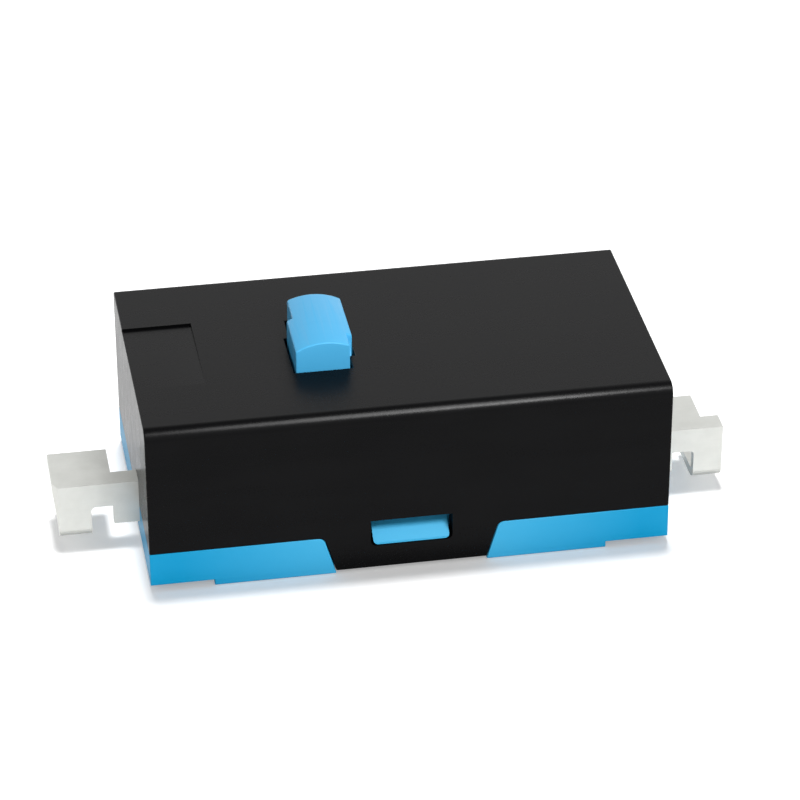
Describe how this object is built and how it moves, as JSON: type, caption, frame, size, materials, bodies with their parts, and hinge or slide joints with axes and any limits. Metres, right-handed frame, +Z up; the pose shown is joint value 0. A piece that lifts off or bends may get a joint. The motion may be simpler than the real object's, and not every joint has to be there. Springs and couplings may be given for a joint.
{
  "type": "micro switch",
  "caption": "Low-profile surface-mount micro switch: black cover on a blue base, arched keyed button, bent solder legs at both ends and a snap blade inside.",
  "frame": {"origin": "centre of the underside of the base's standing pad", "axes": "+X along the body towards the open terminal, +Y to the back, +Z up through the button"},
  "size_m": [0.0144, 0.006, 0.0045],
  "materials": {
    "base_plastic": "moulded polyester, satin, sky blue",
    "cover_plastic": "moulded glass-filled polyester, fine matt, black",
    "button_plastic": "moulded acetal, satin, sky blue",
    "terminal_metal": "tin-plated brass strip, satin silver",
    "blade_metal": "rolled beryllium copper",
    "contact_metal": "silver alloy rivet"
  },
  "bodies": {
    "housing": {"base": "base_plastic", "cover": "cover_plastic", "common_terminal": "terminal_metal", "open_terminal": "terminal_metal", "rest_stop": "terminal_metal", "fixed_contact": "contact_metal"},
    "button": {"plunger": "button_plastic"},
    "blade": {"snap_blade": "blade_metal", "moving_contact": "contact_metal"}
  },
  "joints": [
    {"name": "button_press", "type": "slide", "parent": "housing", "child": "button", "axis": [0, 0, -1], "range_m": [0, 0.00025], "stiffness_N_per_m": 600, "springref_m": -0.00005},
    {"name": "blade_turn", "type": "hinge", "parent": "housing", "child": "blade", "pos_m": [-0.00392, 0, 0.00267], "axis": [0, 1, 0], "range_deg": [0, 5.9]}
  ],
  "couplings": [
    {"joint": "blade_turn", "follows": "button_press", "rad_per_m": 409.5}
  ]
}
